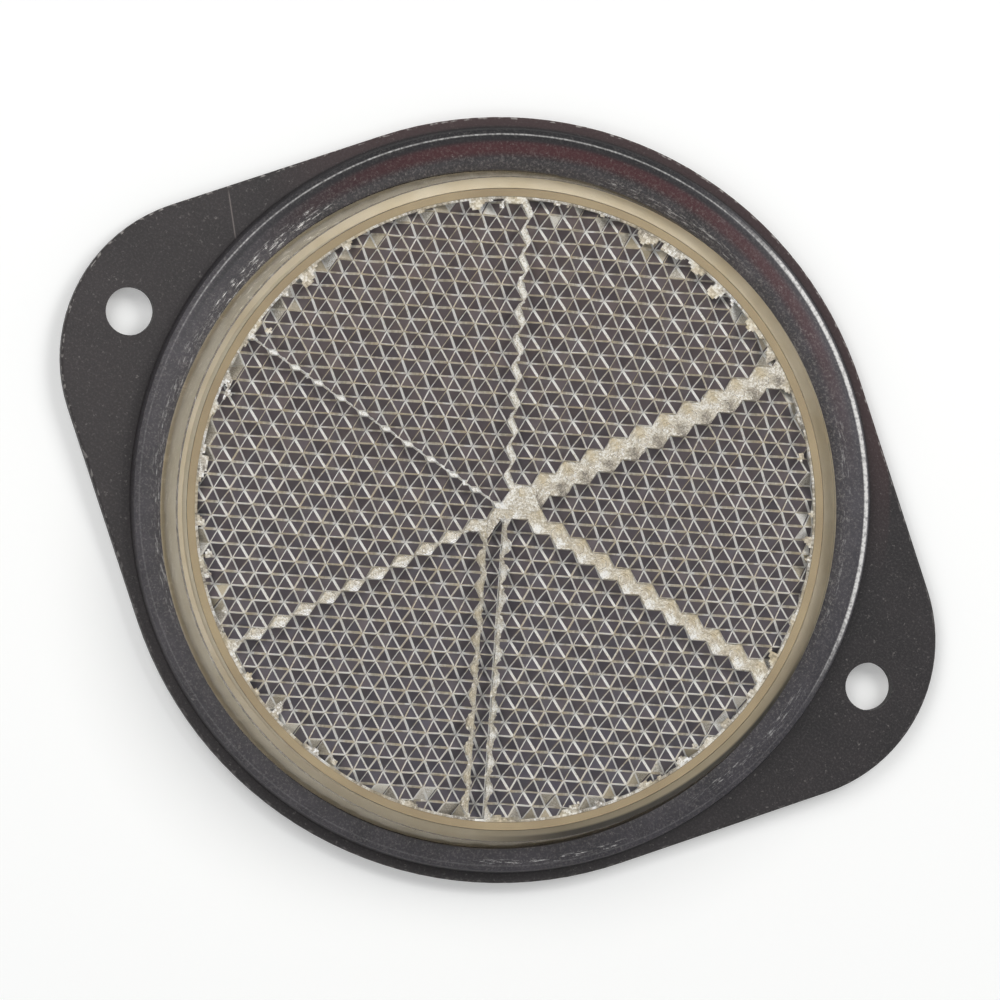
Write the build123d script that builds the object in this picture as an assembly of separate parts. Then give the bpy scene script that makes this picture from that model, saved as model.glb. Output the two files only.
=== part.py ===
from build123d import *
import os
from math import hypot, radians, sin, sqrt

# Prism field: cube corners moulded on the back of the lens, in six sectors of a star
field_radius = 28.15
cell_width = 2.46  # across the flats of one hexagonal cell
cell_ledge = 0.1  # the short straight wall between the front plate and the facets
first_seam_angle = 52.8  # the seams are 60 degrees apart, counted anticlockwise from +X
broad_seam = 2.2
slim_seam = 0.43
tight_seam = -0.06  # the cells at its two sides run into each other
notched_seam = 0.62
pip_seam = 1.5
narrow_column = 1.45  # one seam holds a single column of cells, cut narrow
narrow_column_gap = 0.03
pip_radius = 0.55  # small six-sided pins in three of the seams
pip_end_radius = 0.22
pip_height = 0.7

# Backing: a natural-coloured plate with a raised rim, welded behind the lens's edge
field_clearance = 0.15  # between the prisms and the rim
backing_rim = 0.7
backing_floor = 1.6

# Clear lens: a cap with a thick front plate and a skirt that narrows towards the front
weld_clearance = 0.05  # between the backing's rim and the inside of the skirt
skirt_wall = 0.9  # at the front, where it is thinnest
skirt_taper = 0.9  # what the foot stands out past the front
lens_foot_height = 1.6  # the straight foot, which the bead surrounds
lens_edge_round = 0.6
lens_plate = 2.0
unit_height = 9.0  # from the flange's face to the lens's front

# The lens and its backing sit a little off the flange's middle, as in the photograph
unit_shift_x = -0.12
unit_shift_y = -1.0
unit_clearance = 0.1  # between the lens's foot and the bead

# Raised bead round the lens: a steep outer wall, a tight shoulder and a broad crown
bead_shoulder_reach = 1.87  # from the crest out to the shoulder
bead_shoulder_height = 1.55  # above the flange's face
bead_wall_lean = 0.3  # from the shoulder out to the foot
bead_crest_height = 2.15
bead_inner_reach = 2.8  # from the crest in to where the crown would end without the lens
bead_inner_height = 1.2
bead_foot_round = 0.25
bead_shoulder_round = 0.5

# Flange: one black moulding, lying on its flat back with the screw holes along X
flange_rim = 0.9  # the flat strip outside the bead
flange_thickness = 2.0
flange_edge_bevel = 0.2
hole_diameter = 4.4  # clears an M4 screw
hole_reach = 4.023  # from the bead's foot to the middle of a screw hole
ear_land = 5.25  # from the middle of a screw hole to the ear's tip
ear_radius = 14.7  # the round end of each ear

# Radii and places that follow, from the prisms outwards
skirt_inner_radius = field_radius + field_clearance + backing_rim + weld_clearance
lens_front_radius = skirt_inner_radius + skirt_wall
lens_foot_radius = lens_front_radius + skirt_taper
lens_room_radius = lens_foot_radius + unit_clearance
bead_crest_radius = lens_room_radius + hypot(unit_shift_x, unit_shift_y)
bead_inner_radius = bead_crest_radius - bead_inner_reach
bead_shoulder_radius = bead_crest_radius + bead_shoulder_reach
bead_foot_radius = bead_shoulder_radius + bead_wall_lean
flange_radius = bead_foot_radius + flange_rim
hole_place = bead_foot_radius + hole_reach
ear_reach = hole_place + ear_land - ear_radius  # to the centre of the ear's round end

# Heights that follow, from the flange's back upwards
face_z = flange_thickness
front_z = face_z + unit_height
plate_z = front_z - lens_plate
cell_corner = cell_width / sqrt(3)
cell_step = cell_corner / sqrt(2)  # this rise makes the three facets of a cell square to each other
tip_z = plate_z - cell_ledge - 2 * cell_step

# The six seams, anticlockwise from the first one. Two of them pass well beside the middle of the
# field, so that the sector between them is the largest.
narrow_seam_width = narrow_column + cell_corner / 2 + 2 * narrow_column_gap
seam_widths = [broad_seam, slim_seam, tight_seam, notched_seam, narrow_seam_width, pip_seam]
seam_shifts = [0.19, -0.04, 0.1, 0.02, -0.92, 0.7]  # anticlockwise of the middle
narrow_seam = 4
pip_seams = [0, 3, 5]
unit_place = Pos(unit_shift_x, unit_shift_y)
unit_centre = Vector(unit_shift_x, unit_shift_y)


def ring_of(half_section):
    """A half section drawn in the XZ plane, turned about the Z axis."""
    return revolve(half_section, Axis.Z)


def corner_at(shape, x, z):
    """The section's corner nearest to a place given as radius and height."""
    place = Vector(x, 0, z)
    return min(shape.vertices(), key=lambda corner: (Vector(*corner) - place).length)


def flange_plate():
    ears = [Pos(side * ear_reach, 0) * Edge.make_circle(ear_radius) for side in (-1, 1)]
    outline = make_hull([Edge.make_circle(flange_radius), *ears])
    plate = extrude(outline, flange_thickness)
    rim = plate.faces().sort_by(Axis.Z)[-1].edges()
    return chamfer(rim, flange_edge_bevel)


def bead():
    foot = (bead_foot_radius, face_z)
    shoulder = (bead_shoulder_radius, face_z + bead_shoulder_height)
    crest = (bead_crest_radius, face_z + bead_crest_height)
    inner = (bead_inner_radius, face_z + bead_inner_height)
    apron = bead_foot_radius + 2 * bead_foot_round
    with BuildSketch(Plane.XZ) as section:
        with BuildLine():
            ThreePointArc(inner, crest, shoulder)
            Polyline(shoulder, foot, (apron, face_z), (apron, 0), (bead_inner_radius, 0), inner)
        make_face()
        fillet(corner_at(section.sketch, *shoulder), bead_shoulder_round)
        fillet(corner_at(section.sketch, *foot), bead_foot_round)
    return ring_of(section.sketch)


def flange():
    lens_room = Pos(0, 0, face_z) * unit_place * extrude(Circle(lens_room_radius), unit_height)
    holes = [
        Pos(side * hole_place, 0) * extrude(Circle(hole_diameter / 2), flange_thickness)
        for side in (-1, 1)
    ]
    return flange_plate() + bead() - lens_room - holes


def lens_cap():
    foot_top = face_z + lens_foot_height
    with BuildSketch(Plane.XZ) as section:
        with BuildLine():
            Polyline(
                (0, plate_z),
                (skirt_inner_radius, plate_z),
                (skirt_inner_radius, face_z),
                (lens_foot_radius, face_z),
                (lens_foot_radius, foot_top),
                (lens_front_radius, front_z),
                (0, front_z),
                close=True,
            )
        make_face()
        fillet(corner_at(section.sketch, lens_front_radius, front_z), lens_edge_round)
    return unit_place * ring_of(section.sketch)


def seam_direction(seam):
    return Vector(1, 0).rotate(Axis.Z, first_seam_angle + 60 * seam)


def seam_start(seam):
    """The place on a seam's middle line that is nearest to the middle of the field."""
    return unit_centre + seam_direction(seam).rotate(Axis.Z, 90) * seam_shifts[seam]


def first_cell(sector):
    """The middle of a sector's first cell, which is fixed by the seams at its two sides."""
    near, far = sector, (sector + 1) % 6
    border = 0.75 * cell_corner  # mean reach of a column of cells to each side
    near_gap = border + seam_widths[near] / 2 + seam_shifts[near]
    far_gap = border + seam_widths[far] / 2 - seam_shifts[far]
    across = seam_direction(near) * far_gap + seam_direction(far) * near_gap
    return unit_centre + across / sin(radians(60))


def cell_corners(centre, turned):
    """The six lower corners of a cell: they rise by one and by two steps in turn from its tip."""
    corners = []
    for side in range(6):
        out = Vector(cell_corner, 0).rotate(Axis.Z, first_seam_angle - 30 + 60 * side)
        rise = cell_step * (1 + (side + turned) % 2)
        corners.append(centre + out + Vector(0, 0, tip_z + rise))
    return corners


def face_of(*points):
    return Face(Wire.make_polygon(points))


def raised(point):
    return Vector(point.X, point.Y, plate_z)


def cell_centre(start, seam, key):
    """The middle of the cell that is i cells along a seam and j cells along the next one."""
    i, j = key
    return start + (seam_direction(seam) * i + seam_direction(seam + 1) * j) * cell_width


def block_of_cells(start, seam, keys):
    """One solid of whole cells, one for each (i, j) in keys. Every other seam turns them over."""
    steps = [(1, 0), (0, 1), (-1, 1), (-1, 0), (0, -1), (1, -1)]
    turned = seam % 2
    faces = []
    for i, j in keys:
        centre = cell_centre(start, seam, (i, j))
        tip = centre + Vector(0, 0, tip_z)
        corners = cell_corners(centre, turned)
        faces.append(face_of(*[raised(corner) for corner in corners]))
        for side in range(6):
            here, there = corners[side], corners[(side + 1) % 6]
            if (side + turned) % 2 == 0:
                faces.append(face_of(tip, here, there, corners[(side + 2) % 6]))
            step_i, step_j = steps[(side - seam) % 6]
            if (i + step_i, j + step_j) not in keys:
                faces.append(face_of(here, there, raised(there), raised(here)))
    return Solid(Shell(faces))


def field_disc():
    """The round room that the prisms may fill below the front plate."""
    depth = plate_z - tip_z
    return Pos(0, 0, tip_z - depth) * unit_place * extrude(Circle(field_radius), 2 * depth)


def near_field(centre):
    """Whether a cell reaches far enough into the field's disc to be moulded there."""
    return (centre - unit_centre).length < field_radius + cell_corner / 2


def cells_in_field(start, seam, keys):
    """The keys of those cells that reach into the field."""
    return {key for key in keys if near_field(cell_centre(start, seam, key))}


def sector(number):
    """The cells between two seams. The outermost cells are cut off by the field's edge."""
    start = first_cell(number)
    reach = range(int(2 * field_radius / cell_width))
    keys = cells_in_field(start, number, {(i, j) for i in reach for j in reach})
    return block_of_cells(start, number, keys) & field_disc()


def narrow_cells():
    """One more column of the sector before the narrow seam, cut straight on both sides."""
    before = narrow_seam - 1
    start = first_cell(before)
    reach = range(int(2 * field_radius / cell_width))
    keys = cells_in_field(start, before, {(-1, j) for j in reach})
    middle = seam_start(narrow_seam)
    strip = Pos(middle.X, middle.Y, tip_z) * Rot(0, 0, first_seam_angle + 60 * narrow_seam) * Box(
        4 * field_radius, narrow_column, 3 * (plate_z - tip_z)
    )
    return block_of_cells(start, before, keys) & strip & field_disc()


def pip_at(place):
    """A blunt six-sided pin below the front plate."""
    turns = [Vector(1, 0).rotate(Axis.Z, first_seam_angle + 60 * side) for side in range(6)]
    foot = [raised(place + turn * pip_radius) for turn in turns]
    end = [raised(place + turn * pip_end_radius) - Vector(0, 0, pip_height) for turn in turns]
    sides = [face_of(foot[k - 1], foot[k], end[k], end[k - 1]) for k in range(6)]
    return Solid(Shell([face_of(*foot), face_of(*end), *sides]))


def seam_pips(seam):
    """A row of pips along a seam, one in each notch between the cells beside it."""
    ahead = seam_direction(seam)
    first_notch = (first_cell(seam) - seam_start(seam)).dot(ahead) + cell_width / 2
    reach = range(int(2 * field_radius / cell_width))
    places = [seam_start(seam) + ahead * (first_notch + i * cell_width) for i in reach]
    inside = field_radius - cell_width / 2
    return [pip_at(place) for place in places if (place - unit_centre).length < inside]


def reflex_lens():
    sectors = [sector(number) for number in range(6)]
    pips = [pip for seam in pip_seams for pip in seam_pips(seam)]
    return lens_cap() + sectors + narrow_cells() + pips


def lens_backing():
    rim_radius = skirt_inner_radius - weld_clearance
    floor = extrude(Circle(rim_radius), backing_floor)
    rim = extrude(Circle(rim_radius) - Circle(rim_radius - backing_rim), plate_z - face_z)
    return Pos(0, 0, face_z) * unit_place * (floor + rim)


os.makedirs("parts", exist_ok=True)
export_step(flange(), "parts/flange.step")
export_step(reflex_lens(), "parts/reflex_lens.step")
export_step(lens_backing(), "parts/lens_backing.step")
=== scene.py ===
import math
import random

import bpy
import numpy as np
from mathutils import Matrix, Vector, kdtree, noise


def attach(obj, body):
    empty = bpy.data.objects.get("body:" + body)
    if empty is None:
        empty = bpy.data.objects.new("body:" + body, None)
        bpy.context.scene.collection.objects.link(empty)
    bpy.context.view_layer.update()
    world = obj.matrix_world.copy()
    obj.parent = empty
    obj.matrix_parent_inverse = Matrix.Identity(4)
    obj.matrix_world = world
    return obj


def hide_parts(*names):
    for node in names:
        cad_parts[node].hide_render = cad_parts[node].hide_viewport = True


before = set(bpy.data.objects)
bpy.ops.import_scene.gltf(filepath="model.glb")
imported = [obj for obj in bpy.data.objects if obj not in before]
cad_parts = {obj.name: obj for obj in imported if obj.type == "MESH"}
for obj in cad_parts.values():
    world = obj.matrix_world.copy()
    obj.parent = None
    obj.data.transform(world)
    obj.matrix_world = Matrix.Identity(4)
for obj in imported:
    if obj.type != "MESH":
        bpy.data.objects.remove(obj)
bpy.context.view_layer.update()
scene = bpy.context.scene
mm = 0.001

# Camera: it looks down on the lens from 65 cm, leaned a little towards the picture's left, and
# turned so that the line through the two screw holes falls to the right.
hole_line_fall = math.radians(26.74)
camera_lean = math.radians(7.5)
camera_distance = 650 * mm
frame_width = 91.4 * mm  # what the picture takes in across the flange's face
aim = Vector((-0.17, -0.08, 2)) * mm

bpy.ops.object.select_all(action="DESELECT")
bpy.ops.object.camera_add(rotation=(0, -camera_lean, hole_line_fall))
camera = bpy.context.object
bpy.context.view_layer.update()
camera.location = aim + camera.matrix_world.to_3x3() @ Vector((0, 0, camera_distance))
camera.data.lens = camera.data.sensor_width * camera_distance / frame_width
camera.data.clip_start = 0.05
scene.camera = camera
to_picture = Matrix.Rotation(-hole_line_fall, 3, "Z")  # turns a direction to the picture's own

# Studio: the reflector lies on a pale table under soft lamps round its upper right, and a dim
# even room. The table is shown to the camera as white paper, with the object's shadow on it.
scene.view_settings.view_transform = "Standard"


def linear(hex_colour):
    """An sRGB colour such as #a39678, as the linear values that the nodes take."""
    parts = [int(hex_colour[i:i + 2], 16) / 255 for i in (1, 3, 5)]
    return (*[c / 12.92 if c <= 0.04045 else ((c + 0.055) / 1.055) ** 2.4 for c in parts], 1)


def add(tree, kind, inputs=(), output=0, stops=(), **settings):
    """Adds a node with its settings, colour stops and links, and gives one of its outputs."""
    node = tree.nodes.new("ShaderNode" + kind)
    for name, value in settings.items():
        setattr(node, name, value)
    for number, (position, hex_colour) in enumerate(stops):
        if number == 0:
            node.color_ramp.elements.remove(node.color_ramp.elements[1])
            stop = node.color_ramp.elements[0]
            stop.position = position
        else:
            stop = node.color_ramp.elements.new(position)
        stop.color = linear(hex_colour)
    for name, value in dict(inputs).items():
        if isinstance(value, bpy.types.NodeSocket):
            tree.links.new(value, node.inputs[name])
        else:
            node.inputs[name].default_value = value
    return node.outputs[output]


def new_material(name):
    """An empty node material, and the socket that takes its shader."""
    material = bpy.data.materials.new(name)
    material.use_nodes = True
    tree = material.node_tree
    tree.nodes.clear()
    return material, tree, tree.nodes.new("ShaderNodeOutputMaterial").inputs["Surface"]


table_size = 1.6
table_gap = 0.02 * mm  # keeps its face just off the flange's back
bpy.ops.mesh.primitive_plane_add(size=table_size, location=(0, 0, -table_gap))
table = bpy.context.object
table.name = "table"

paper_glow = 0.16  # lifts the sheet to a clean white, and leaves the shadow on it
paper, tree, surface = new_material("matt_white_paper")
camera_ray = add(tree, "LightPath", output="Is Camera Ray")
through_lens = add(tree, "LightPath", output="Is Transmission Ray")
seen = add(tree, "Math", {0: camera_ray, 1: through_lens}, operation="MAXIMUM")
lift = add(tree, "Math", {0: seen, 1: paper_glow}, operation="MULTIPLY")
sheet = add(tree, "BsdfDiffuse", {"Color": linear("#f4f4f2")})
glow = add(tree, "Emission", {"Color": (1, 1, 1, 1), "Strength": lift})
tree.links.new(add(tree, "AddShader", {0: sheet, 1: glow}), surface)
table.data.materials.append(paper)

scene.world = bpy.data.worlds.new("room")
scene.world.use_nodes = True
room = scene.world.node_tree.nodes["Background"]
room.inputs["Color"].default_value = (0.95, 0.97, 1, 1)
room.inputs["Strength"].default_value = 0.30

lamp_distance = 0.6


def softbox(name, picture_angle, height, width, power):
    """A square lamp that faces the object, placed anticlockwise from the picture's right."""
    around = math.radians(picture_angle) + hole_line_fall
    up = math.radians(height)
    place = Vector((math.cos(around) * math.cos(up), math.sin(around) * math.cos(up), math.sin(up)))
    turn = place.to_track_quat("Z", "Y").to_euler()
    bpy.ops.object.light_add(type="AREA", location=place * lamp_distance, rotation=turn)
    lamp = bpy.context.object
    lamp.name = name
    lamp.data.size = width
    lamp.data.energy = power


softbox("key", 35, 48, 0.30, 1.5)
softbox("top_left", 125, 50, 0.30, 1.0)
softbox("fill", 215, 60, 0.40, 0.7)

# Flange: one injection moulding in black ABS, with two screw ears and a raised bead round the
# lens. Its outer shoulder is faintly scalloped, and the crown is scuffed where it was rubbed.
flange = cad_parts["flange"]


def place_in_mm(tree):
    """The place on a piece in mm, so that a noise's scale is how many of its grains fill a mm."""
    metres = add(tree, "TexCoord", output="Object")
    return add(tree, "VectorMath", {0: metres, "Scale": 1000}, operation="SCALE")


def polar(tree, place):
    """The distance from the flange's middle in mm, and the turn in degrees from the picture's
    right. The turn runs from -150 to 210, so that no worn patch lies across its jump."""
    flat = add(tree, "VectorMath", {0: place, 1: (1, 1, 0)}, operation="MULTIPLY")
    radius = add(tree, "VectorMath", {0: flat}, output="Value", operation="LENGTH")
    past_right = 30  # where the turn is measured from, in degrees
    zero = hole_line_fall + math.radians(past_right)
    ahead, aside = (math.cos(zero), math.sin(zero), 0), (-math.sin(zero), math.cos(zero), 0)
    x = add(tree, "VectorMath", {0: place, 1: ahead}, output="Value", operation="DOT_PRODUCT")
    y = add(tree, "VectorMath", {0: place, 1: aside}, output="Value", operation="DOT_PRODUCT")
    turn = add(tree, "Math", {0: y, 1: x}, operation="ARCTAN2")
    turn = add(tree, "Math", {0: turn}, operation="DEGREES")
    return radius, add(tree, "Math", {0: turn, 1: past_right}, operation="ADD")


def between(tree, value, low, high, soft):
    """1 where a value lies between two others, with soft edges, and 0 elsewhere."""
    smooth = {"interpolation_type": "SMOOTHSTEP"}
    rise = add(tree, "MapRange", {0: value, 1: low - soft, 2: low + soft}, **smooth)
    fall = add(tree, "MapRange", {0: value, 1: high + soft, 2: high - soft}, **smooth)
    return add(tree, "Math", {0: rise, 1: fall}, operation="MULTIPLY")


def painted(tree, base, cover, share, amount=1.0):
    """A colour with another one laid over it, as far as the share says, times an amount."""
    share = add(tree, "Math", {0: share, 1: amount}, operation="MULTIPLY", use_clamp=True)
    return add(tree, "Mix", {"Factor": share, "A": base, "B": linear(cover)}, "Result", data_type="RGBA")


# Black ABS, moulded in a spark-textured tool: a soft sheen, dust in the grain, grey scuffs.
black_abs, tree, surface = new_material("moulded_black_abs")
place = place_in_mm(tree)
radius, turn = polar(tree, place)
height = add(tree, "SeparateXYZ", {0: place}, "Z")
mottle = add(tree, "TexNoise", {"Vector": place, "Scale": 0.22, "Detail": 6, "Roughness": 0.65})
ear_black = add(tree, "ValToRGB", {0: mottle}, stops=((0.35, "#140f11"), (0.65, "#221c1e")))
bead_black = add(tree, "ValToRGB", {0: mottle}, stops=((0.35, "#302e33"), (0.65, "#434046")))
on_bead = add(tree, "MapRange", {0: height, 1: 2.1, 2: 2.9})
body = add(tree, "Mix", {"Factor": on_bead, "A": ear_black, "B": bead_black}, "Result", data_type="RGBA")

# Painted light: the flange is painted lighter towards the left, the left ear more than the right one.
to_right = (math.cos(hole_line_fall), math.sin(hole_line_fall), 0)
to_top = (-math.sin(hole_line_fall), math.cos(hole_line_fall), 0)
across = add(tree, "VectorMath", {0: place, 1: to_right}, "Value", operation="DOT_PRODUCT")
upwards = add(tree, "VectorMath", {0: place, 1: to_top}, "Value", operation="DOT_PRODUCT")
painted_left_light = add(tree, "MapRange", {0: across, 1: -44, 2: 34, 3: 0.13, 4: 0.0})
body = painted(tree, body, "#6f6866", painted_left_light)

# A painted red reflection lies on the crown's outer half, over the top and the right. Over the top the
# crown is also painted darker, as painted shade, and made rougher.
red_reflection_ring = between(tree, radius, 31.5, 32.75, 0.45)
red_reflection_arc = between(tree, turn, 20, 118, 22)
crown_red_reflection = add(tree, "Math", {0: red_reflection_ring, 1: red_reflection_arc}, operation="MULTIPLY")
shade_and_dull_arc = add(tree, "Math", {0: between(tree, turn, 50, 132, 24), 1: on_bead}, operation="MULTIPLY")
shade_and_dull_crown = add(tree, "MapRange", {0: radius, 1: 30.9, 2: 31.9, 3: 0.35, 4: 1.0})
shade_and_dull_arc = add(tree, "Math", {0: shade_and_dull_arc, 1: shade_and_dull_crown}, operation="MULTIPLY")
body = painted(tree, body, "#0c0b0d", shade_and_dull_arc, 0.82)
body = painted(tree, body, "#4c2125", crown_red_reflection, 0.7)

# Dust lies in small uneven specks on the ears, and finer and denser on the bead's inner slope.
coarse_dust = add(tree, "TexNoise", {"Vector": place, "Scale": 3.2, "Detail": 5, "Roughness": 0.6})
coarse_dust = add(tree, "MapRange", {0: coarse_dust, 1: 0.62, 2: 0.78})
body = painted(tree, body, "#b3ada8", coarse_dust, 0.4)
fine_dust = add(tree, "TexNoise", {"Vector": place, "Scale": 4.5, "Detail": 6, "Roughness": 0.75})
fine_dust = add(tree, "MapRange", {0: fine_dust, 1: 0.5, 2: 0.66})
inner_slope = between(tree, radius, 29.5, 31.7, 0.4)
dust_share = add(tree, "MapRange", {0: inner_slope, 3: 0.22, 4: 0.34})
less_on_ears = add(tree, "MapRange", {0: on_bead, 3: 0.35, 4: 1.0})
dust_share = add(tree, "Math", {0: dust_share, 1: less_on_ears}, operation="MULTIPLY")
fine_dust = add(tree, "Math", {0: fine_dust, 1: dust_share}, operation="MULTIPLY")
cleaner = add(tree, "MapRange", {0: shade_and_dull_arc, 3: 1.0, 4: 0.5})
fine_dust = add(tree, "Math", {0: fine_dust, 1: cleaner}, operation="MULTIPLY")
body = painted(tree, body, "#b3ada8", fine_dust)

# Scuffs run round the bead. They are dense at the upper left and short elsewhere. Each is given
# by its radii, by the turn where it starts and ends, and by how strong it is. Their grain is
# about 1.2 mm long round the bead and 0.2 mm wide across it.
scuff_places = [
    (30.95, 31.3, 122, 146, 1.5),
    (31.55, 31.85, 124, 150, 1.5),
    (30.9, 31.9, 124, 148, 0.9),
    (31.0, 32.3, 150, 200, 0.4),
    (32.85, 33.2, -94, -71, 1.1),
    (32.1, 32.9, -58, -33, 0.42),
    (31.2, 31.9, -22, 18, 0.3),
    (30.1, 30.9, 44, 74, 0.4),
]
outwards = add(tree, "VectorMath", {0: place, 1: (1, 1, 0)}, operation="MULTIPLY")
outwards = add(tree, "VectorMath", {0: outwards}, operation="NORMALIZE")
run = add(tree, "VectorMath", {0: outwards, "Scale": 26}, operation="SCALE")
step = add(tree, "Math", {0: radius, 1: 5.5}, operation="MULTIPLY")
run = add(tree, "VectorMath", {0: run, 1: add(tree, "CombineXYZ", {"Z": step})})
streaks = add(tree, "TexNoise", {"Vector": run, "Scale": 1.0, "Detail": 7, "Roughness": 0.75})
streaks = add(tree, "MapRange", {0: streaks, 1: 0.54, 2: 0.64})
scuffed = 0.0
for inner, outer, start, end, strength in scuff_places:
    ring = between(tree, radius, inner, outer, 0.2)
    arc = between(tree, turn, start, end, 4)
    patch = add(tree, "Math", {0: ring, 1: arc}, operation="MULTIPLY")
    patch = add(tree, "Math", {0: patch, 1: strength}, operation="MULTIPLY")
    scuffed = add(tree, "Math", {0: scuffed, 1: patch}, operation="MAXIMUM")
scuffs = add(tree, "Math", {0: streaks, 1: scuffed}, operation="MULTIPLY")
body = painted(tree, body, "#e4e2df", scuffs, 1.2)

# The scalloped shoulder is worn to a line that also carries a painted highlight: bright on the right,
# towards the key lamp, and thin and smooth at the top, with a band of painted shade just inside it. The
# crease at the bead's foot has painted shade too, and the flat face beside it has a painted red
# reflection over the top and the right.
uneven = add(tree, "TexNoise", {"Vector": place, "Scale": 0.8, "Detail": 2})
waves = add(tree, "Math", {0: turn, 1: 9.0}, operation="MULTIPLY")  # a scallop every 0.4 mm
shift = add(tree, "Math", {0: uneven, 1: 14}, operation="MULTIPLY")
waves = add(tree, "Math", {0: waves, 1: shift})
scallops = add(tree, "Math", {0: waves}, operation="SINE")
tooth = add(tree, "MapRange", {0: scallops, 1: -0.9, 2: 0.5, 3: 0.75, 4: 1.0})
rubbed = add(tree, "TexNoise", {"Vector": place, "Scale": 2.6, "Detail": 5, "Roughness": 0.7})
rubbed = add(tree, "MapRange", {0: rubbed, 1: 0.36, 2: 0.6, 3: 0.3, 4: 1.0})
tooth = add(tree, "Math", {0: tooth, 1: rubbed}, operation="MULTIPLY")
bright_right = between(tree, turn, -26, 46, 12)
thin_top = between(tree, turn, 40, 150, 14)
thin_top = add(tree, "Math", {0: thin_top, 1: 0.5}, operation="MULTIPLY")
highlight_and_wear_arc = add(tree, "Math", {0: bright_right, 1: thin_top}, operation="MAXIMUM")
highlight_and_wear_arc = add(tree, "Math", {0: highlight_and_wear_arc, 1: 0.08}, operation="MAXIMUM")
highlight_and_wear_arc = add(tree, "Math", {0: highlight_and_wear_arc, 1: tooth}, operation="MULTIPLY")
shade_band = between(tree, radius, 32.75, 33.1, 0.15)
shade_band = add(tree, "Math", {0: shade_band, 1: thin_top}, operation="MULTIPLY")
body = painted(tree, body, "#1d1d20", shade_band, 1.3)
broad_line = between(tree, radius, 33.3, 33.66, 0.1)
broad_line = add(tree, "Math", {0: broad_line, 1: bright_right}, operation="MULTIPLY")
thin_line = between(tree, radius, 33.32, 33.42, 0.07)
highlight_and_wear_line = add(tree, "Math", {0: broad_line, 1: thin_line}, operation="MAXIMUM")
highlight_and_wear_line = add(tree, "Math", {0: highlight_and_wear_line, 1: highlight_and_wear_arc}, operation="MULTIPLY")
body = painted(tree, body, "#e2e0dd", highlight_and_wear_line, 1.6)
# Painted shade in the crease at the bead's foot.
foot_crease_shade = between(tree, radius, 33.95, 34.2, 0.12)
body = painted(tree, body, "#151415", foot_crease_shade, 0.3)
# Painted red reflection on the flat face beside the bead.
red_reflection_strip = between(tree, radius, 34.2, 36.0, 0.2)
red_reflection_side = between(tree, turn, 0, 118, 14)
flat_red_reflection = add(tree, "Math", {0: red_reflection_strip, 1: red_reflection_side}, operation="MULTIPLY")
body = painted(tree, body, "#4f2f2f", flat_red_reflection, 0.4)

# One long scratch crosses the flat face at the upper left, and leans to the left.
scratch_lean = 0.149
beside_scratch = add(tree, "Math", {0: upwards, 1: scratch_lean, 2: across}, operation="MULTIPLY_ADD")
scratch_width = between(tree, beside_scratch, -20.95, -20.85, 0.05)
scratch_length = between(tree, upwards, 23.9, 28.0, 0.5)
scratch = add(tree, "Math", {0: scratch_width, 1: scratch_length}, operation="MULTIPLY")
body = painted(tree, body, "#958b86", scratch, 0.5)

# The flange's edge is chipped to grey in places, mostly along its upper side.
chips = add(tree, "TexNoise", {"Vector": place, "Scale": 1.6, "Detail": 5})
chips = add(tree, "MapRange", {0: chips, 1: 0.52, 2: 0.62})
upper_side = add(tree, "MapRange", {0: upwards, 1: -12, 2: 12, 3: 0.25, 4: 1.0})
chips = add(tree, "Math", {0: chips, 1: upper_side}, operation="MULTIPLY")
normal = add(tree, "NewGeometry", output="Normal")
tilt = add(tree, "SeparateXYZ", {0: normal}, "Z")
face_height = between(tree, height, 1.75, 2.02, 0.04)
rounded = between(tree, tilt, 0.3, 0.9, 0.05)
edge = add(tree, "Math", {0: face_height, 1: rounded}, operation="MULTIPLY")
chipped = add(tree, "Math", {0: edge, 1: chips}, operation="MULTIPLY")
body = painted(tree, body, "#a09b97", chipped, 0.75)

# The tool's texture, the scallops and the scuffs stand in low relief.
grain = add(tree, "TexNoise", {"Vector": place, "Scale": 5.0, "Detail": 3})
shoulder = between(tree, radius, 33.1, 33.7, 0.15)
shoulder = add(tree, "Math", {0: shoulder, 1: scallops}, operation="MULTIPLY")
relief = add(tree, "Math", {0: shoulder, 1: 0.3, 2: grain}, operation="MULTIPLY_ADD")
relief = add(tree, "Math", {0: scuffs, 1: 0.8, 2: relief}, operation="MULTIPLY_ADD")
bump = add(tree, "Bump", {"Strength": 0.35, "Distance": 0.00006, "Height": relief})
roughness = add(tree, "MapRange", {0: grain, 1: 0.3, 2: 0.7, 3: 0.48, 4: 0.64})
roughness = add(tree, "Math", {0: shade_and_dull_arc, 1: 0.25, 2: roughness}, operation="MULTIPLY_ADD")
plastic = {"Base Color": body, "Roughness": roughness, "IOR": 1.53, "Normal": bump}
tree.links.new(add(tree, "BsdfPrincipled", plastic), surface)
flange.data.materials.clear()
flange.data.materials.append(black_abs)

# Backing: a plate with a raised rim, moulded in natural unpainted plastic and welded behind the
# lens. Its tan rim is what shows through the clear edge.
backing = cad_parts["lens_backing"]
natural_plastic, tree, surface = new_material("natural_tan_plastic")
cloud = add(tree, "TexNoise", {"Vector": place_in_mm(tree), "Scale": 0.15, "Detail": 3})
tan = add(tree, "ValToRGB", {0: cloud}, stops=((0.3, "#9a8768"), (0.7, "#ad9a78")))
plastic = {"Base Color": tan, "Roughness": 0.5, "IOR": 1.5}
tree.links.new(add(tree, "BsdfPrincipled", plastic), surface)
backing.data.materials.clear()
backing.data.materials.append(natural_plastic)

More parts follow.
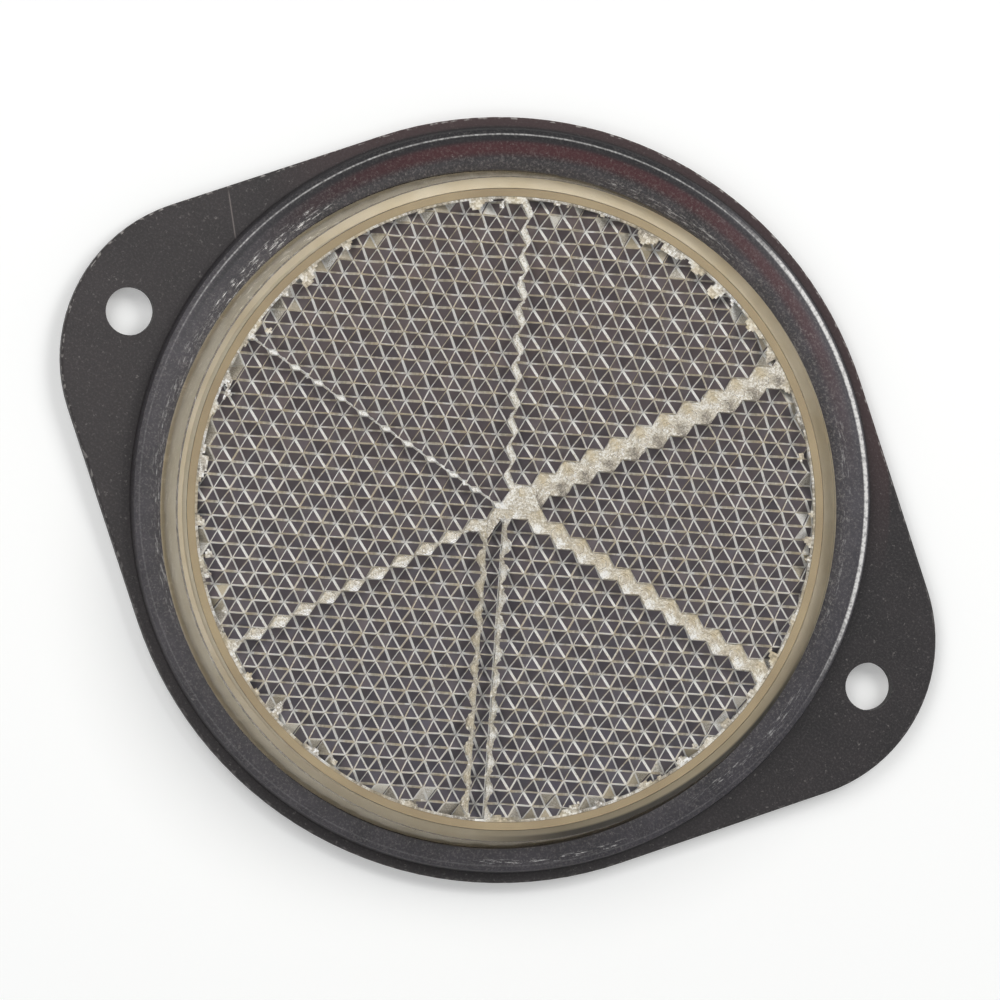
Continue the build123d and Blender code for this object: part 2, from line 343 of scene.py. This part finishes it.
# Lens: one clear acrylic moulding, welded to its backing and bonded to the flange. The cube
# corners on the back of its plate send the light back to where it comes from, so that their
# facets look dark and only their worn edges shine.
plate_back = 9.0 * mm
far_corner_height = 8.9 * mm
foot_height = 2 * mm  # where the skirt stands on the flange
weld_film = 0.01 * mm  # keeps the lens's faces just off the flange and the backing
unit_centre = Vector((-0.12, -1.0, 0)) * mm
field_radius = 28.15 * mm
skirt_radius = 29.05 * mm  # of the skirt's inside
skirt_margin = 0.15 * mm  # tells the skirt's walls from the field's
cell_width = 2.46 * mm
cell_corner = cell_width / math.sqrt(3)
edge_border = 0.115 * mm  # half the width of a worn edge, on the facet

# The seams between the sectors, anticlockwise: how wide each one is and how far it passes beside
# the middle. The third is closed and shows as a row of bright ledges, and the fifth holds a
# narrow column of cells.
sector_angle = math.radians(60)
first_seam_angle = math.radians(52.8)
narrow_column = 1.45 * mm
narrow_seam = 4
narrow_width = narrow_column + cell_corner / 2 + 0.06 * mm
seam_widths = [2.2 * mm, 0.43 * mm, -0.06 * mm, 0.62 * mm, narrow_width, 1.5 * mm]
seam_shifts = [0.19 * mm, -0.04 * mm, 0.1 * mm, 0.02 * mm, -0.92 * mm, 0.7 * mm]
ledge_seam = 2


def seam_direction(seam):
    angle = first_seam_angle + sector_angle * seam
    return Vector((math.cos(angle), math.sin(angle), 0))


def seam_side(seam):
    """The direction across a seam, to its anticlockwise side."""
    ahead = seam_direction(seam)
    return Vector((-ahead.y, ahead.x, 0))


def seam_start(seam):
    return unit_centre + seam_side(seam) * seam_shifts[seam]


def first_cell(sector):
    """The middle of a sector's first cell, anchored to the seams at its two sides."""
    near, far = sector % 6, (sector + 1) % 6
    near_gap = 0.75 * cell_corner + seam_widths[near] / 2 + seam_shifts[near]
    far_gap = 0.75 * cell_corner + seam_widths[far] / 2 - seam_shifts[far]
    across = seam_direction(near) * far_gap + seam_direction(far) * near_gap
    return unit_centre + across / math.sin(sector_angle)


lens = bpy.data.objects.new("clear_lens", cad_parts["reflex_lens"].data.copy())
scene.collection.objects.link(lens)
bpy.ops.object.select_all(action="DESELECT")
lens.select_set(True)
bpy.context.view_layer.objects.active = lens
bpy.ops.object.mode_set(mode="EDIT")
bpy.ops.mesh.select_all(action="SELECT")
bpy.ops.mesh.remove_doubles(threshold=0.002 * mm)
bpy.ops.mesh.customdata_custom_splitnormals_clear()
bpy.ops.mesh.dissolve_limited(angle_limit=math.radians(0.5))


def select_faces(piece, wanted):
    """Selects just the faces for which wanted(face) holds, and leaves edit mode on."""
    bpy.ops.mesh.select_mode(type="FACE")
    bpy.ops.mesh.select_all(action="DESELECT")
    bpy.ops.object.mode_set(mode="OBJECT")
    for face in piece.data.polygons:
        face.select = wanted(face)
    bpy.ops.object.mode_set(mode="EDIT")


# A cube corner's facet leans by 54.7 degrees, and it is split from its tip to its far corner,
# where the reflection of the edge opposite shows as one more line.
facet_fall = -1 / math.sqrt(3)


def is_facet(face):
    return abs(face.normal.z - facet_fall) < 0.02


def inner_wall(face):
    """The inside of the skirt, down to the flange."""
    outwards = (face.center - unit_centre).xy
    in_skirt = outwards.length > skirt_radius - skirt_margin
    return abs(face.normal.z) < 0.05 and in_skirt and face.normal.xy.dot(outwards) < 0


def field_wall(face):
    """The short walls round the sectors and the sides of the pips."""
    in_field = (face.center - unit_centre).xy.length < skirt_radius - skirt_margin
    return in_field and tip_height < face.center.z < plate_back - weld_film


# Each whole facet is split between its two ends.
bpy.ops.object.mode_set(mode="OBJECT")
facet_corners = [i for face in lens.data.polygons if is_facet(face) for i in face.vertices]
tip_height = min(lens.data.vertices[i].co.z for i in facet_corners)
bpy.ops.object.mode_set(mode="EDIT")
bpy.ops.mesh.select_mode(type="VERT")
bpy.ops.mesh.select_all(action="DESELECT")
bpy.ops.object.mode_set(mode="OBJECT")
for vertex in lens.data.vertices:
    to_tip, to_far_corner = vertex.co.z - tip_height, vertex.co.z - far_corner_height
    vertex.select = min(abs(to_tip), abs(to_far_corner)) < weld_film
bpy.ops.object.mode_set(mode="EDIT")
bpy.ops.mesh.vert_connect()
bpy.ops.object.mode_set(mode="OBJECT")
tip_places = [v.co.copy() for v in lens.data.vertices if abs(v.co.z - tip_height) < weld_film]


def unsplit(face):
    """A facet that keeps its tip but has lost its far corner to a neighbour or to the field's edge."""
    heights = [lens.data.vertices[i].co.z for i in face.vertices]
    has_tip = min(heights) - tip_height < weld_film
    has_far_corner = max(heights) >= far_corner_height - weld_film
    return is_facet(face) and has_tip and not has_far_corner


def tip_of(face):
    return min((lens.data.vertices[i].co for i in face.vertices), key=lambda co: co.z)


def on_line(face, tip, across):
    """Whether a line through a tip splits a facet."""
    along = abs(across.dot(face.normal)) < 0.01
    return along and abs(across.dot(tip_of(face) - tip)) < weld_film


# Facets that have only their tip are split too, by one cut for all that lie in one line.
cuts = {}
for face in lens.data.polygons:
    if unsplit(face):
        tip = tip_of(face).copy()
        across = Vector((-face.normal.y, face.normal.x, 0)).normalized()
        line = (round(across.x, 2), round(across.dot(tip) / weld_film))
        cuts[line] = (tip, across)
bpy.ops.object.mode_set(mode="EDIT")
for tip, across in cuts.values():
    select_faces(lens, lambda face: unsplit(face) and on_line(face, tip, across))
    bpy.ops.mesh.bisect(plane_co=tip, plane_no=across, threshold=weld_film / 10)


def broad(face):
    """A facet that is wide enough to have a border on every side."""
    corners = [lens.data.vertices[i].co for i in face.vertices]
    girth = sum((a - b).length for a, b in zip(corners, corners[1:] + corners[:1]))
    return is_facet(face) and 2 * face.area / girth > 1.6 * edge_border


select_faces(lens, broad)
bpy.ops.mesh.inset(thickness=edge_border, depth=0, use_individual=True)
bpy.ops.object.mode_set(mode="OBJECT")

# Each border strip and facet carries two values for its material: how light it is and how warm.
# The edges' lightness is painted scattered light and glints: the worn edges that fall to the right are
# the brightest, and the cells' outlines are painted lighter towards the bottom and round the field's
# lower edge. An edge that rises to the right shows on one side only, which makes it thin, apart from
# the outlines near the bottom. The whole facets' warmth is part of their painted reflection, browner
# towards the top.
dice = random.Random(11)
level, falling, rising = range(3)
edge_angles = {level: 176, falling: 116, rising: 56}  # in the picture, from its right
edge_shine = {level: (0.58, 0.5), falling: (1.0, 0.82), rising: (0.86, 0.62)}  # inside, outline
broken_depth = 1.15 * mm  # how far the broken cells reach in from the field's edge
ledge_reach = 0.5 * mm
glint_reach = 3 * mm
clear, facets, edges, frost, bond = range(5)
lens.data.materials.clear()
numbers = np.zeros(len(lens.data.polygons), np.int32)
light = np.zeros(len(lens.data.polygons), np.float32)
warm = np.zeros(len(lens.data.polygons), np.float32)


def clamped(value):
    return min(1.0, max(0.0, value))


def give_tones(piece, lights, warms):
    """Gives each face how light and how warm it is, for the materials to read."""
    for name, values in (("light", lights), ("warm", warms)):
        piece.data.attributes.new(name, "FLOAT", "FACE").data.foreach_set("value", values)


def longest_edge(mesh, face):
    corners = [mesh.vertices[i].co for i in face.vertices]
    pairs = zip(corners, corners[1:] + corners[:1])
    return max(pairs, key=lambda pair: (pair[0] - pair[1]).length)


def slope_of(run):
    """Which of the three directions of the prisms' edges a run follows in the picture."""
    turned = to_picture @ run
    angle = math.degrees(math.atan2(turned.y, turned.x))
    return min(edge_angles, key=lambda slope: abs((angle - edge_angles[slope] + 90) % 180 - 90))


def beside_seam(seam, place, reach):
    """Whether a place is within reach of a seam, on its own side of the middle."""
    beside = abs((place - seam_start(seam)).dot(seam_side(seam)))
    return beside < reach and (place - unit_centre).dot(seam_direction(seam)) > 0


tips = kdtree.KDTree(len(tip_places))
for index, tip in enumerate(tip_places):
    tips.insert(tip, index)
tips.balance()

for face in lens.data.polygons:
    centre = face.center
    tip = tips.find((centre.x, centre.y, tip_height))[0]
    spot = to_picture @ (centre - unit_centre) / field_radius
    lower = clamped(0.45 - spot.y * 0.9 - spot.x * 0.25)
    cut = (tip - unit_centre).xy.length > field_radius - broken_depth
    lost = (tip - centre).xy.length > cell_corner  # the cell's own tip isn't there
    broken_share = 0.6 if lost else 0.32 if cut else 0.0
    broken = dice.random() < broken_share
    if is_facet(face) and face.select:  # the inset leaves the facets selected, not their borders
        numbers[face.index] = frost if broken else facets
        light[face.index] = dice.uniform(0.3, 1) if broken else dice.random()
        warm[face.index] = dice.random() if broken else 0.5 + 0.45 * spot.y + dice.uniform(-0.2, 0.2)
    elif is_facet(face):
        start, end = longest_edge(lens.data, face)
        slope = slope_of(end - start)
        above = (to_picture @ (centre - (start + end) / 2)).y > 0
        outline = min(start.z, end.z) > tip_height + 0.3 * mm
        inside_shine, outline_shine = edge_shine[slope]
        shine = outline_shine + 0.2 * lower if outline else inside_shine
        shine += dice.uniform(-0.14, 0.14)
        # Painted light brightens the outlines round the field's lower edge.
        if outline and math.hypot(spot.x, spot.y) > 0.72 and spot.y < 0.15:  # round the lower edge
            shine += 0.12 if slope == falling else 0.38
        # Painted glints on a few level outlines, more of them towards the bottom.
        if slope == level and outline and dice.random() < 0.10 + 0.2 * lower:  # a few glints
            shine += 0.35
        # The level edges beside the third seam are its ledges, painted bright.
        if slope == level and beside_seam(ledge_seam, centre, ledge_reach):
            shine += 0.45
        # Painted glints on some level edges near the narrow column.
        if slope == level and beside_seam(narrow_seam, centre, glint_reach) and dice.random() < 0.3:
            shine += 0.4
        thin = above and slope == rising and not (outline and lower > 0.45)
        numbers[face.index] = facets if thin else edges
        light[face.index] = dice.random() if thin else shine
        warm[face.index] = dice.uniform(0.3, 1) if slope != falling else dice.uniform(0, 0.5)
    elif abs(centre.z - foot_height) < weld_film or inner_wall(face):
        numbers[face.index] = bond
    elif field_wall(face):
        upright = abs(face.normal.z) < 0.1
        numbers[face.index] = frost if upright else clear  # the pips' tapered sides are clear
        light[face.index] = dice.uniform(0.5, 1)

give_tones(lens, light, warm)
lens.data.polygons.foreach_set("material_index", numbers)

for vertex in lens.data.vertices:
    to_back, to_foot = vertex.co.z - plate_back, vertex.co.z - foot_height
    if min(abs(to_back), abs(to_foot)) < weld_film / 10:
        vertex.co.z += weld_film
bpy.ops.object.shade_smooth_by_angle(angle=math.radians(20))

# Clear acrylic, injection moulded and polished: lamp light goes straight through it.
clear_acrylic, tree, surface = new_material("clear_moulded_acrylic")
shadow_ray = add(tree, "LightPath", output="Is Shadow Ray")
diffuse_ray = add(tree, "LightPath", output="Is Diffuse Ray")
passes = add(tree, "Math", {0: shadow_ray, 1: diffuse_ray}, operation="MAXIMUM")
polished = {"Base Color": linear("#fdfcf8"), "Roughness": 0.0, "IOR": 1.49, "Transmission Weight": 1.0}
glass = add(tree, "BsdfPrincipled", polished)
open_way = add(tree, "BsdfTransparent")
tree.links.new(add(tree, "MixShader", {0: passes, 1: glass, 2: open_way}), surface)

# The facets' colour is a painted reflection: they send the camera its own dark surroundings back,
# some brownish and some bluish.
dark_facet, tree, surface = new_material("cube_corner_facet")
tone = add(tree, "Attribute", output="Fac", attribute_name="light")
warmth = add(tree, "Attribute", output="Fac", attribute_name="warm")
cool = add(tree, "ValToRGB", {0: tone}, stops=((0.0, "#524e56"), (1.0, "#65616b")))
brown = add(tree, "ValToRGB", {0: tone}, stops=((0.0, "#5f5456"), (1.0, "#766967")))
colour = add(tree, "Mix", {"Factor": warmth, "A": cool, "B": brown}, "Result", data_type="RGBA")
tree.links.new(add(tree, "BsdfPrincipled", {"Base Color": colour, "Roughness": 0.3}), surface)

# Worn and rounded prism edges scatter the light, and that light is painted into their colour: white at
# the tips, and cream or tan where they meet the plate.
worn_edge_glint, tree, surface = new_material("worn_prism_edge_glint")
place = place_in_mm(tree)
height = add(tree, "SeparateXYZ", {0: place}, "Z")
shine = add(tree, "Attribute", output="Fac", attribute_name="light")
warmth = add(tree, "Attribute", output="Fac", attribute_name="warm")
star = add(tree, "MapRange", {0: height, 1: 6.9, 2: 7.6, 3: 0.4, 4: 0.0})
wear = add(tree, "TexNoise", {"Vector": place, "Scale": 2.2, "Detail": 3})
patchy = add(tree, "MapRange", {0: wear, 1: 0.35, 2: 0.65, 3: -0.14, 4: 0.14})
shine = add(tree, "Math", {0: shine, 1: star})
shine = add(tree, "Math", {0: shine, 1: patchy})
cream_greys = ((0.1, "#6b635b"), (0.4, "#aaa08e"), (0.7, "#dcd5c5"), (0.95, "#fffefa"))
worn = add(tree, "ValToRGB", {0: shine}, stops=cream_greys)
creamy = add(tree, "MapRange", {0: height, 1: 7.3, 2: 8.6, 3: 0.1, 4: 0.6})
creamy = add(tree, "Math", {0: creamy, 1: warmth}, operation="MULTIPLY")
worn = painted(tree, worn, "#c9b48c", creamy)
upright = add(tree, "CombineXYZ", {"Z": 1.0})  # a rounded edge faces up on average
scattering = {"Base Color": worn, "Roughness": 0.35, "Normal": upright}
tree.links.new(add(tree, "BsdfPrincipled", scattering), surface)

# Where no cube corner is whole, the moulding is rough and frosted. It is granular and sparkles
# where it is light, and smooth where the tan backing shows through it.
frosted, tree, surface = new_material("frosted_acrylic")
place = place_in_mm(tree)
shine = add(tree, "Attribute", output="Fac", attribute_name="light")
warmth = add(tree, "Attribute", output="Fac", attribute_name="warm")
grit = add(tree, "TexNoise", {"Vector": place, "Scale": 8.0, "Detail": 3, "Roughness": 0.6})
depth = add(tree, "MapRange", {0: warmth, 3: 0.42, 4: 0.1})
grit_shine = add(tree, "MapRange", {0: grit, 1: 0.3, 2: 0.7, 3: -1.0, 4: 1.0})
shine = add(tree, "Math", {0: grit_shine, 1: depth, 2: shine}, operation="MULTIPLY_ADD")
frost_greys = ((0.05, "#7d756c"), (0.35, "#aea598"), (0.65, "#d4cec3"), (0.95, "#ffffff"))
frost_tans = ((0.1, "#9c8f76"), (0.6, "#cfbf9f"), (1.0, "#f4ecda"))
grey = add(tree, "ValToRGB", {0: shine}, stops=frost_greys)
tan = add(tree, "ValToRGB", {0: shine}, stops=frost_tans)
colour = add(tree, "Mix", {"Factor": warmth, "A": grey, "B": tan}, "Result", data_type="RGBA")
upright = add(tree, "CombineXYZ", {"Z": 1.0})
bump = add(tree, "Bump", {"Strength": 0.6, "Distance": 0.0001, "Height": grit, "Normal": upright})
rough = {"Base Color": colour, "Roughness": 0.3, "Normal": bump}
tree.links.new(add(tree, "BsdfPrincipled", rough), surface)

# The solvent bond has drawn the backing's tan up the inside of the skirt and under its foot. It is
# painted lighter than the backing's own tan, as painted light on these steep and hidden faces. At the
# lower right it is painted darker, as painted shade, and at the top and the lower right the outer part
# of the foot is painted near black, as painted shade in the crease beside the bead.
tan_bond, tree, surface = new_material("tan_solvent_bond")
place = place_in_mm(tree)
radius, turn = polar(tree, place)
cloud = add(tree, "TexNoise", {"Vector": place, "Scale": 0.3, "Detail": 3})
tan = add(tree, "ValToRGB", {0: cloud}, stops=((0.3, "#e3d5b8"), (0.7, "#f1e6cf")))
shaded_lower_right = between(tree, turn, -88, -28, 12)
tan = painted(tree, tan, "#a08f6c", shaded_lower_right, 0.6)
top = between(tree, turn, 84, 128, 10)
for side, shade_start in ((shaded_lower_right, 30.5), (top, 29.5)):
    crease_shade = add(tree, "MapRange", {0: radius, 1: shade_start, 2: shade_start + 0.2})
    crease_shade = add(tree, "Math", {0: crease_shade, 1: side}, operation="MULTIPLY")
    tan = painted(tree, tan, "#2b2a2b", crease_shade, 0.9)
tree.links.new(add(tree, "BsdfPrincipled", {"Base Color": tan, "Roughness": 0.4}), surface)

for material in (clear_acrylic, dark_facet, worn_edge_glint, frosted, tan_bond):
    lens.data.materials.append(material)
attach(lens, "root")
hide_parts("reflex_lens")

# Seams: where the sectors meet, the mould's pins left rough frosted strips of acrylic. Each one
# fills the zig-zag between the cells at its sides, just under the lens's plate.
grit_size = 0.2 * mm
frost_top = 8.97 * mm
frost_thickness = 0.25 * mm
least_width = 0.03 * mm
notch_depth = 0.3 * mm
wedge = math.tan(sector_angle / 2)

# How light and how warm each strip is: between the cells, in the notches at its anticlockwise
# side and in those at its clockwise side.
seam_tones = {
    0: ((0.68, 0.30), (0.58, 1.00), (0.10, 0.00)),
    1: ((0.82, 0.30), (0.82, 0.30), (0.82, 0.30)),
    2: ((0.95, 0.15), (0.95, 0.15), (0.95, 0.15)),
    3: ((0.66, 0.35), (0.95, 0.05), (0.66, 0.65)),
    4: ((0.68, 0.50), (0.92, 0.20), (0.58, 0.80)),
    5: ((0.62, 0.50), (0.54, 0.95), (1.00, 0.15)),
}


def from_cell(seam, side, along):
    """How far a place along a seam is from the nearest cell at one side, in cell widths up to a
    half at the notches. It is negative before the first cell."""
    beside = first_cell(seam if side > 0 else seam - 1)
    first = (beside - seam_start(seam)).dot(seam_direction(seam))
    if along < first - cell_width / 2:
        return -1
    return abs((along - first) / cell_width - round((along - first) / cell_width))


def border(seam, side, along):
    """How far the cells at one side of a seam stay away from its middle, at a place along it."""
    phase = from_cell(seam, side, along)
    if phase < 0:
        return max(0.0, along * wedge - side * seam_shifts[seam])
    return seam_widths[seam] / 2 + cell_corner * (phase - 0.25)


def left_border(seam, along):
    return border(seam, 1, along)


def right_border(seam, along):
    return -border(seam, -1, along)


def column_left(seam, along):
    """The left border of the narrow column of cells, which starts beside the middle."""
    first = (first_cell(seam - 1) - seam_start(seam)).dot(seam_direction(seam))
    return narrow_column / 2 if along > first - cell_width else 0.0


def column_right(seam, along):
    return -column_left(seam, along)


def frosted_strip(seam, low, high):
    """A grid along one seam, between two of the borders."""
    ahead, aside = seam_direction(seam), seam_side(seam)
    start = seam_start(seam)
    reach = (start - unit_centre).dot(ahead)
    length = -reach + math.sqrt(reach ** 2 - (start - unit_centre).length_squared + field_radius ** 2)
    rows = max(2, round((seam_widths[seam] / 2 + notch_depth) * 2 / grit_size))
    columns = round(length / grit_size)
    bpy.ops.object.select_all(action="DESELECT")
    bpy.ops.mesh.primitive_grid_add(x_subdivisions=columns, y_subdivisions=rows, size=1)
    strip = bpy.context.object
    for vertex in strip.data.vertices:
        along = (vertex.co.x + 0.5) * length
        share = vertex.co.y + 0.5
        right, left = low(seam, along), high(seam, along)
        width = max(left - right, least_width)
        off = (right + left) / 2 + width * (share - 0.5)
        jitter = dice.uniform(-0.06, 0.06) * mm
        depth = dice.uniform(0, 0.2) * min(width, 0.6 * mm)
        vertex.co = start + ahead * (along + jitter) + aside * off + Vector((0, 0, frost_top - depth))
    return strip


def strip_tone(seam, centre):
    """How light and how warm a bit of a strip is."""
    start = seam_start(seam)
    along = (centre - start).dot(seam_direction(seam))
    off = (centre - start).dot(seam_side(seam))
    side = 1 if off > 0 else -1
    phase = from_cell(seam, side, along)
    notch = min(1.0, max(0.0, (phase - 0.2) / 0.3) * min(1.0, abs(off) / (0.35 * mm)))
    middle, left, right = seam_tones[seam]
    edge_tone = left if side > 0 else right
    return [m + (e - m) * notch for m, e in zip(middle, edge_tone)]


strips = []
for seam in seam_tones:
    if seam == narrow_seam:
        sides = [(column_left, left_border), (right_border, column_right)]
    else:
        sides = [(right_border, left_border)]
    parts = [frosted_strip(seam, low, high) for low, high in sides]
    for part in parts:
        tones = [strip_tone(seam, face.center) for face in part.data.polygons]
        lights = [clamped(light + dice.uniform(-0.2, 0.2)) for light, warm in tones]
        warms = [clamped(warm + dice.uniform(-0.15, 0.15)) for light, warm in tones]
        give_tones(part, lights, warms)
    strips += parts

# Round the field's edge, the bits too small for a cell are frosted too.
rim_width = 1.7 * mm
rim_outside = field_radius + 0.12 * mm
columns = round(2 * math.pi * field_radius / grit_size)
rows = round(rim_width / grit_size)
bpy.ops.object.select_all(action="DESELECT")
bpy.ops.mesh.primitive_grid_add(x_subdivisions=columns, y_subdivisions=rows, size=1)
rim = bpy.context.object
for vertex in rim.data.vertices:
    around = vertex.co.x * 2 * math.pi
    out = rim_outside - rim_width * (vertex.co.y + 0.5)
    height = frost_top - dice.uniform(0, 0.08) * mm
    vertex.co = unit_centre + Vector((math.cos(around) * out, math.sin(around) * out, height))


def under_cell(face):
    """Whether a cell of the field fills the place of a face."""
    above = Vector((face.center.x, face.center.y, plate_back - 0.02 * mm))
    hit, where = lens.ray_cast(above, Vector((0, 0, -1)))[:2]
    return hit and where.z > tip_height - weld_film


def blob(face):
    """Whether a face lies in one of the rough blobs that grow inwards from the edge over the cells."""
    inwards = (rim_outside - (face.center - unit_centre).xy.length) / mm
    return noise.noise(face.center / mm * 0.85) > 0.03 + 0.38 * inwards


def in_strip(face, seam):
    """Whether a face lies where a seam's own strip is."""
    in_field = (face.center - unit_centre).xy.length < field_radius
    return in_field and beside_seam(seam, face.center, seam_widths[seam] / 2)


def not_frosted(face):
    return under_cell(face) and not blob(face) or any(in_strip(face, seam) for seam in seam_tones)


bpy.ops.object.mode_set(mode="EDIT")
select_faces(rim, not_frosted)
bpy.ops.mesh.delete(type="FACE")
bpy.ops.mesh.select_all(action="SELECT")
bpy.ops.mesh.remove_doubles(threshold=0.01 * mm)
bpy.ops.object.mode_set(mode="OBJECT")
spots = [face.center / mm for face in rim.data.polygons]
lights = [0.62 + 0.5 * noise.noise(spot * 1.3) + dice.uniform(-0.25, 0.25) for spot in spots]
lights = [clamped(light) for light in lights]
elsewhere = Vector((40, 0, 0))  # keeps the two noises apart
warms = [clamped(0.4 + noise.noise(spot * 0.45 + elsewhere)) for spot in spots]
give_tones(rim, lights, warms)
strips.append(rim)

for strip in strips:
    strip.select_set(True)
bpy.context.view_layer.objects.active = strips[0]
bpy.ops.object.join()
seam_frost = bpy.context.object
seam_frost.name = "seam_frost"
bpy.ops.object.modifier_add(type="SOLIDIFY")
wall = seam_frost.modifiers[0]
wall.thickness = frost_thickness
wall.offset = -1
wall.use_even_offset = False
bpy.ops.object.modifier_apply(modifier=wall.name)
for vertex in seam_frost.data.vertices:
    vertex.co.z = min(vertex.co.z, frost_top)  # the folds must not reach into the lens's plate
seam_frost.data.materials.append(frosted)
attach(seam_frost, "root")
